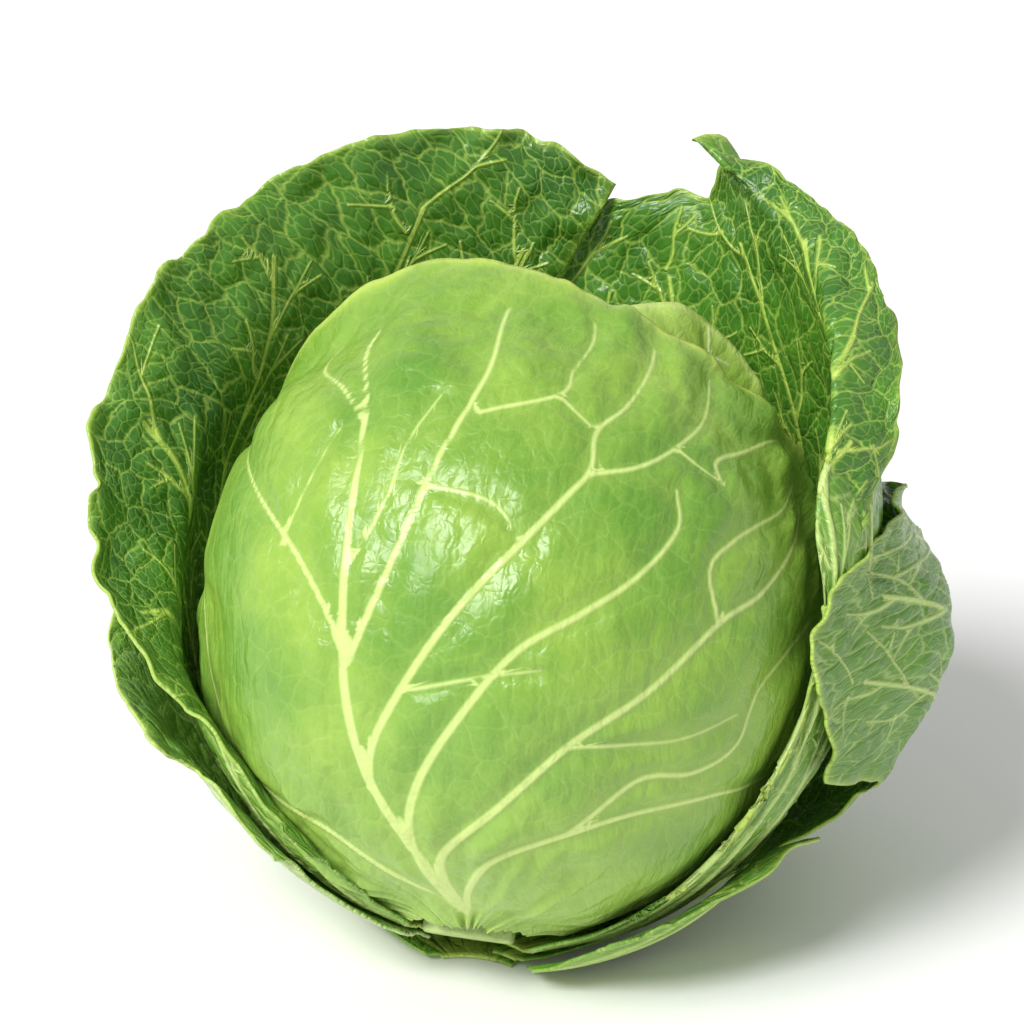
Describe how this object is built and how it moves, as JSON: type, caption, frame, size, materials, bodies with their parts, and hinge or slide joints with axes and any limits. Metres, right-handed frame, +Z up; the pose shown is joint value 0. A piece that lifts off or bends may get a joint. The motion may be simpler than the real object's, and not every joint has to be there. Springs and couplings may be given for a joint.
{
  "type": "cabbage",
  "caption": "Round green cabbage lying on its side, a tight ribbed head held in loose, flared wrapper leaves.",
  "frame": {"origin": "centre of the bounding box's underside, on the floor the head lies on", "axes": "+Z up; -Y towards the viewer, who sees the front head leaf; +X to the viewer's right, the head's widest direction"},
  "size_m": [0.2522, 0.2346, 0.2108],
  "materials": {
    "heart_leaves": "moist pale yellow-green inner leaves, satin",
    "head_leaves": "waxy light green leaf with pale raised ribs, satin to glossy",
    "wrapper_leaves": "dark green waxy leaf with a yellow-green vein network, satin",
    "stalk": "pale, fibrous cut stump, matt"
  },
  "bodies": {
    "root": {"heart": "heart_leaves", "stalk": "stalk", "head_leaf_back": "head_leaves", "head_leaf_right": "head_leaves", "head_leaf_front": "head_leaves", "wrapper_left": "wrapper_leaves", "wrapper_right_back": "wrapper_leaves", "wrapper_right": "wrapper_leaves", "wrapper_back": "wrapper_leaves", "wrapper_lower_left": "wrapper_leaves", "wrapper_lower_right": "wrapper_leaves"}
  },
  "joints": []
}
